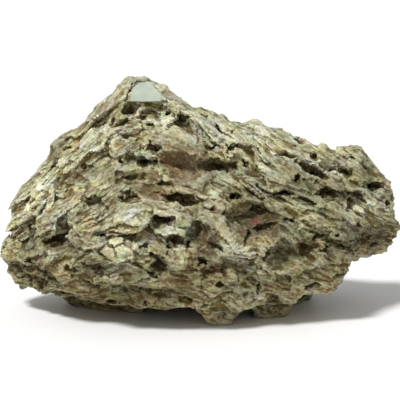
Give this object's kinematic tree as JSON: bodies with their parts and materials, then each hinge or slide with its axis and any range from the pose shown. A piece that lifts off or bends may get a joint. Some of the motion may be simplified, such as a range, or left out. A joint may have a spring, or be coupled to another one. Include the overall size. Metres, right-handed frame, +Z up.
{
  "type": "dragon stone",
  "caption": "Weathered decorative stone with a pointed peak, a long lower wing, deep scallops and pits, and flat spots under it to rest on.",
  "frame": {"origin": "under the middle of the stone, on the surface it rests on", "axes": "+X to the right along the stone's length, +Y away from the front face, +Z up"},
  "size_m": [0.301, 0.1769, 0.1771],
  "materials": {
    "stone": "dry, dull, greenish tan stone with pale ridges, brown hollows and rust stains"
  },
  "bodies": {
    "root": {"dragon_stone": "stone"}
  },
  "joints": []
}
